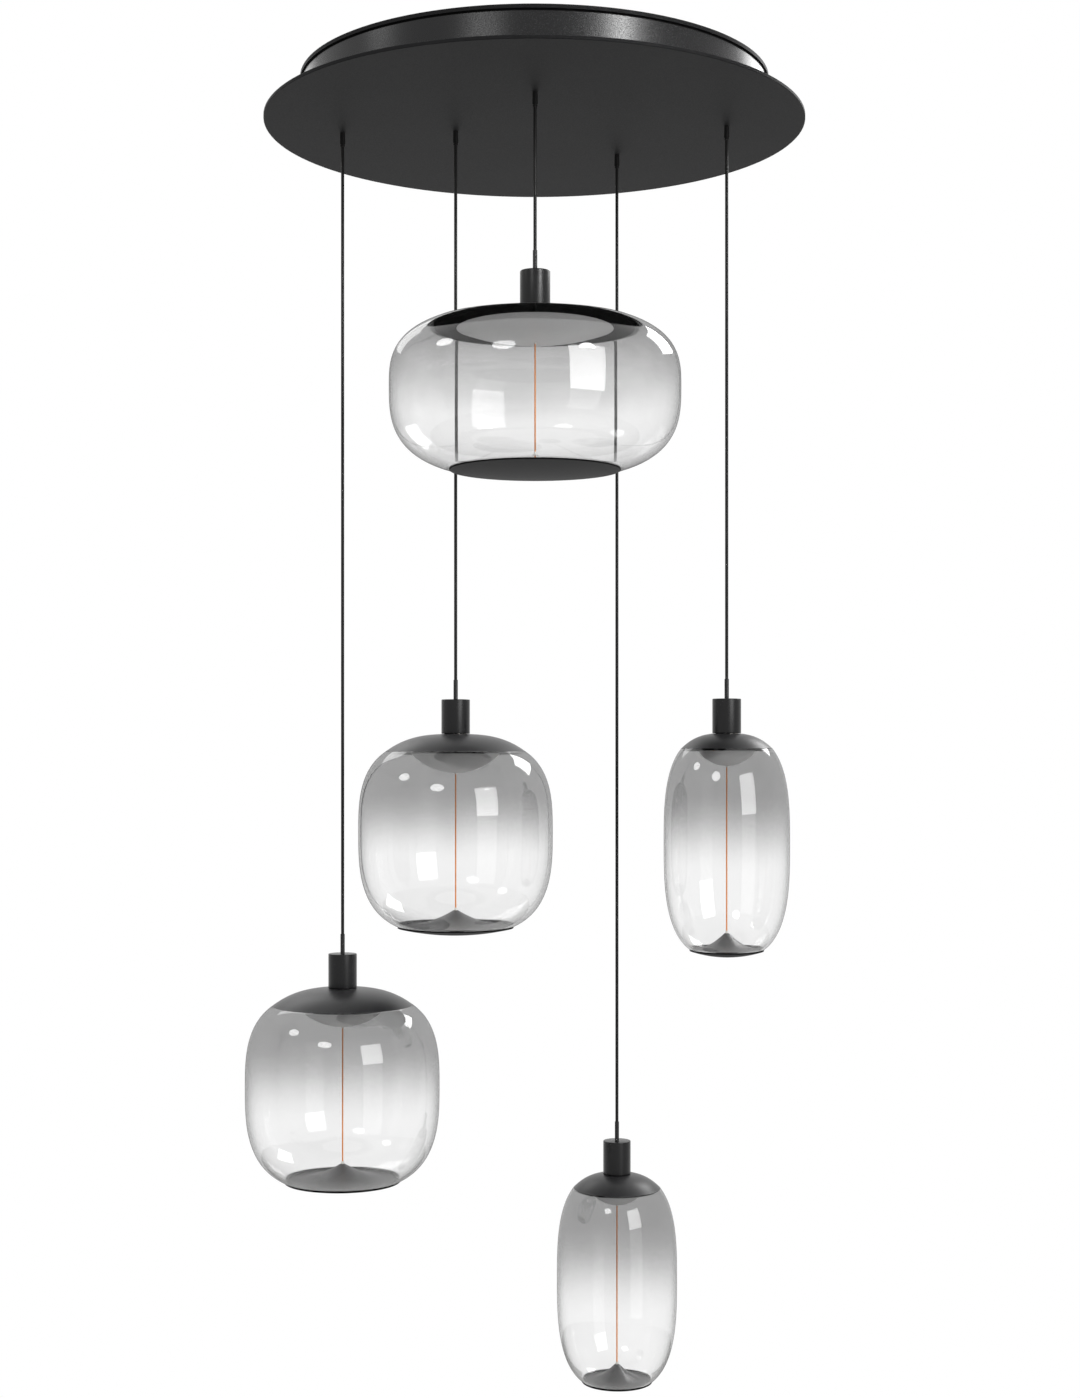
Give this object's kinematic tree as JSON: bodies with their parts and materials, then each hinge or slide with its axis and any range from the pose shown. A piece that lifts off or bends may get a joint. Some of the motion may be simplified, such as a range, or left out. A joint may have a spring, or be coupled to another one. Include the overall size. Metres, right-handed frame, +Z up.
{
  "type": "cluster pendant",
  "caption": "Ceiling cluster pendant: round black canopy with smoked glass globe, barrel and tube bulbs hung on cords at staggered heights.",
  "frame": {"origin": "centre of the ceiling plate on the face that bears on the ceiling", "axes": "+Z up into the ceiling, +X to the right and +Y away from someone who looks at the front of the lamp"},
  "size_m": [0.625, 0.6, 1.4857],
  "materials": {
    "canopy_coat": "matt black powder coat on sheet",
    "drum_coat": "matt black powder coat",
    "foam": "dark closed-cell foam",
    "rubber": "black rubber",
    "zinc": "zinc plated steel",
    "grip": "black moulded nylon",
    "block": "natural thermoplastic",
    "cord_sheath": "black cord sheath",
    "holder_coat": "matt black coat on turned metal",
    "cap_coat": "satin dark grey coat",
    "shell": "nickel plated brass",
    "contact": "tinned brass",
    "opal": "satin pale grey",
    "smoke_glass": "smoke grey at the mouth, clear at the base",
    "filament": "copper orange",
    "base": "satin black"
  },
  "bodies": {
    "ceiling_plate": {"ceiling_plate": "canopy_coat", "plate_seal": "foam", "inlet_grommet": "rubber"},
    "canopy": {"canopy_disc": "canopy_coat", "canopy_drum": "drum_coat", "side_screws": "zinc", "cord_grips": "grip", "terminal_block": "block", "block_screws": "zinc", "inner_leads": "cord_sheath"},
    "bush_1": {"cord_bush_1": "rubber"},
    "cord_1": {"cord_1": "cord_sheath"},
    "holder_1": {"lampholder_1": "holder_coat"},
    "bulb_thread_1": {"bulb_contact_1": "contact"},
    "bulb_1": {"bulb_shell_1": "shell", "bulb_cap_1": "cap_coat", "driver_dome_1": "opal", "glass_1": "smoke_glass", "filament_1": "filament", "bulb_base_1": "base"},
    "bush_2": {"cord_bush_2": "rubber"},
    "cord_2": {"cord_2": "cord_sheath"},
    "holder_2": {"lampholder_2": "holder_coat"},
    "bulb_thread_2": {"bulb_contact_2": "contact"},
    "bulb_2": {"bulb_shell_2": "shell", "bulb_cap_2": "cap_coat", "driver_dome_2": "opal", "glass_2": "smoke_glass", "filament_2": "filament", "bulb_base_2": "base"},
    "bush_3": {"cord_bush_3": "rubber"},
    "cord_3": {"cord_3": "cord_sheath"},
    "holder_3": {"lampholder_3": "holder_coat"},
    "bulb_thread_3": {"bulb_contact_3": "contact"},
    "bulb_3": {"bulb_shell_3": "shell", "bulb_cap_3": "cap_coat", "driver_dome_3": "opal", "glass_3": "smoke_glass", "filament_3": "filament", "bulb_base_3": "base"},
    "bush_4": {"cord_bush_4": "rubber"},
    "cord_4": {"cord_4": "cord_sheath"},
    "holder_4": {"lampholder_4": "holder_coat"},
    "bulb_thread_4": {"bulb_contact_4": "contact"},
    "bulb_4": {"bulb_shell_4": "shell", "bulb_cap_4": "cap_coat", "driver_dome_4": "opal", "glass_4": "smoke_glass", "filament_4": "filament", "bulb_base_4": "base"},
    "bush_5": {"cord_bush_5": "rubber"},
    "cord_5": {"cord_5": "cord_sheath"},
    "holder_5": {"lampholder_5": "holder_coat"},
    "bulb_thread_5": {"bulb_contact_5": "contact"},
    "bulb_5": {"bulb_shell_5": "shell", "bulb_cap_5": "cap_coat", "driver_dome_5": "opal", "glass_5": "smoke_glass", "filament_5": "filament", "bulb_base_5": "base"}
  },
  "joints": [
    {"name": "canopy_drop", "type": "slide", "parent": "ceiling_plate", "child": "canopy", "axis": [0, 0, -1], "range_m": [0, 0.06]},
    {"name": "sway_side_1", "type": "hinge", "parent": "canopy", "child": "bush_1", "pos_m": [-0.216, 0.021, -0.0625], "axis": [0, -1, 0], "range_deg": [-6, 1]},
    {"name": "sway_depth_1", "type": "hinge", "parent": "bush_1", "child": "cord_1", "pos_m": [-0.216, 0.021, -0.0625], "axis": [1, 0, 0], "range_deg": [-6, 6]},
    {"name": "twist_1", "type": "hinge", "parent": "cord_1", "child": "holder_1", "pos_m": [-0.216, 0.021, -0.9714], "axis": [0, 0, 1], "range_deg": [-90, 90]},
    {"name": "bulb_out_1", "type": "slide", "parent": "holder_1", "child": "bulb_thread_1", "axis": [0, 0, -1], "range_m": [0, 0.01815]},
    {"name": "bulb_turn_1", "type": "hinge", "parent": "bulb_thread_1", "child": "bulb_1", "pos_m": [-0.216, 0.021, -0.9714], "axis": [0, 0, -1], "range_deg": [0, 1800]},
    {"name": "sway_side_2", "type": "hinge", "parent": "canopy", "child": "bush_2", "pos_m": [-0.0885, 0.015, -0.0625], "axis": [0, -1, 0], "range_deg": [-1, 3.5]},
    {"name": "sway_depth_2", "type": "hinge", "parent": "bush_2", "child": "cord_2", "pos_m": [-0.0885, 0.015, -0.0625], "axis": [1, 0, 0], "range_deg": [-2, 6]},
    {"name": "twist_2", "type": "hinge", "parent": "cord_2", "child": "holder_2", "pos_m": [-0.0885, 0.015, -0.6856], "axis": [0, 0, 1], "range_deg": [-90, 90]},
    {"name": "bulb_out_2", "type": "slide", "parent": "holder_2", "child": "bulb_thread_2", "axis": [0, 0, -1], "range_m": [0, 0.01815]},
    {"name": "bulb_turn_2", "type": "hinge", "parent": "bulb_thread_2", "child": "bulb_2", "pos_m": [-0.0885, 0.015, -0.6856], "axis": [0, 0, -1], "range_deg": [0, 1800]},
    {"name": "sway_side_3", "type": "hinge", "parent": "canopy", "child": "bush_3", "pos_m": [0.001, -0.129, -0.0625], "axis": [0, -1, 0], "range_deg": [-3.5, 6]},
    {"name": "sway_depth_3", "type": "hinge", "parent": "bush_3", "child": "cord_3", "pos_m": [0.001, -0.129, -0.0625], "axis": [1, 0, 0], "range_deg": [-6, 2]},
    {"name": "twist_3", "type": "hinge", "parent": "cord_3", "child": "holder_3", "pos_m": [0.001, -0.129, -0.2368], "axis": [0, 0, 1], "range_deg": [-90, 90]},
    {"name": "bulb_out_3", "type": "slide", "parent": "holder_3", "child": "bulb_thread_3", "axis": [0, 0, -1], "range_m": [0, 0.01815]},
    {"name": "bulb_turn_3", "type": "hinge", "parent": "bulb_thread_3", "child": "bulb_3", "pos_m": [0.001, -0.129, -0.2368], "axis": [0, 0, -1], "range_deg": [0, 1800]},
    {"name": "sway_side_4", "type": "hinge", "parent": "canopy", "child": "bush_4", "pos_m": [0.096, 0.11, -0.0625], "axis": [0, -1, 0], "range_deg": [-6, 6]},
    {"name": "sway_depth_4", "type": "hinge", "parent": "bush_4", "child": "cord_4", "pos_m": [0.096, 0.11, -0.0625], "axis": [1, 0, 0], "range_deg": [-6, 6]},
    {"name": "twist_4", "type": "hinge", "parent": "cord_4", "child": "holder_4", "pos_m": [0.096, 0.11, -1.1982], "axis": [0, 0, 1], "range_deg": [-90, 90]},
    {"name": "bulb_out_4", "type": "slide", "parent": "holder_4", "child": "bulb_thread_4", "axis": [0, 0, -1], "range_m": [0, 0.01815]},
    {"name": "bulb_turn_4", "type": "hinge", "parent": "bulb_thread_4", "child": "bulb_4", "pos_m": [0.096, 0.11, -1.1982], "axis": [0, 0, -1], "range_deg": [0, 1800]},
    {"name": "sway_side_5", "type": "hinge", "parent": "canopy", "child": "bush_5", "pos_m": [0.214, -0.006, -0.0625], "axis": [0, -1, 0], "range_deg": [-6, 6]},
    {"name": "sway_depth_5", "type": "hinge", "parent": "bush_5", "child": "cord_5", "pos_m": [0.214, -0.006, -0.0625], "axis": [1, 0, 0], "range_deg": [-6, 6]},
    {"name": "twist_5", "type": "hinge", "parent": "cord_5", "child": "holder_5", "pos_m": [0.214, -0.006, -0.6852], "axis": [0, 0, 1], "range_deg": [-90, 90]},
    {"name": "bulb_out_5", "type": "slide", "parent": "holder_5", "child": "bulb_thread_5", "axis": [0, 0, -1], "range_m": [0, 0.01815]},
    {"name": "bulb_turn_5", "type": "hinge", "parent": "bulb_thread_5", "child": "bulb_5", "pos_m": [0.214, -0.006, -0.6852], "axis": [0, 0, -1], "range_deg": [0, 1800]}
  ],
  "couplings": [
    {"joint": "bulb_turn_1", "follows": "bulb_out_1", "rad_per_m": 1731.4},
    {"joint": "bulb_turn_2", "follows": "bulb_out_2", "rad_per_m": 1731.4},
    {"joint": "bulb_turn_3", "follows": "bulb_out_3", "rad_per_m": 1731.4},
    {"joint": "bulb_turn_4", "follows": "bulb_out_4", "rad_per_m": 1731.4},
    {"joint": "bulb_turn_5", "follows": "bulb_out_5", "rad_per_m": 1731.4}
  ]
}
